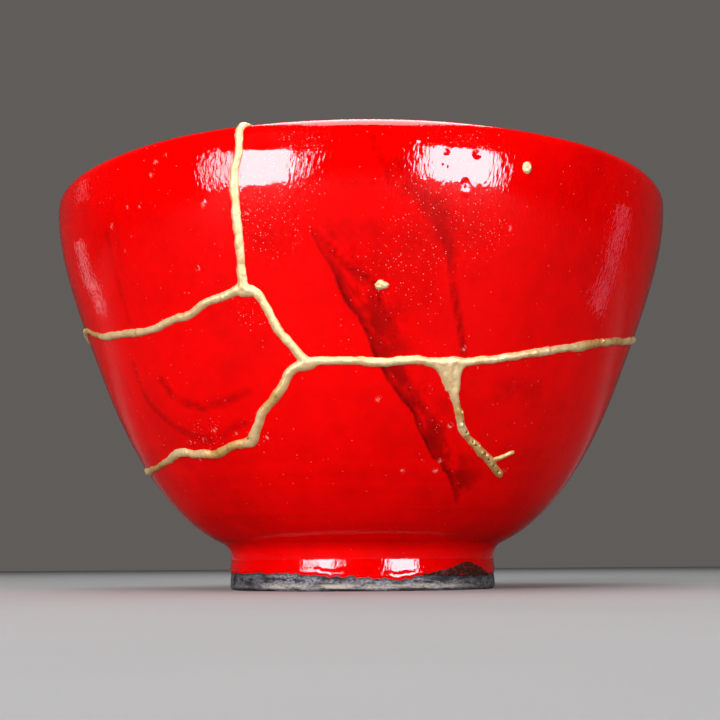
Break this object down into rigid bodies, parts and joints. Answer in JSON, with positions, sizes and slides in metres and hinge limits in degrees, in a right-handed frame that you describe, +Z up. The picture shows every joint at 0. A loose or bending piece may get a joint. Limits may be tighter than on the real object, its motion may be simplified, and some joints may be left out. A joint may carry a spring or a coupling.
{
  "type": "mended tea bowl",
  "caption": "Round footed tea bowl, broken into sherds and mended with raised gold seams, standing on its foot ring.",
  "frame": {"origin": "centre of the foot ring's underside, on the surface that the bowl stands on", "axes": "+Z up along the bowl's turning axis, -Y towards the front, the side with the forked seams that the picture shows, +X to the right as the front is seen"},
  "size_m": [0.12, 0.12, 0.0758],
  "materials": {
    "red_glaze": "glossy red raku glaze over a dark low-fired clay, with smoke marks; bare clay at the foot's lower edge",
    "gold": "satin gold powder laid over lacquer, slightly lumpy"
  },
  "bodies": {
    "root": {"foot_sherd": "red_glaze", "rim_sherd_left": "red_glaze", "rim_sherd_right": "red_glaze", "side_sherd": "red_glaze", "gold_seams": "gold", "gold_spot_upper": "gold", "gold_spot_lower": "gold"}
  },
  "joints": []
}
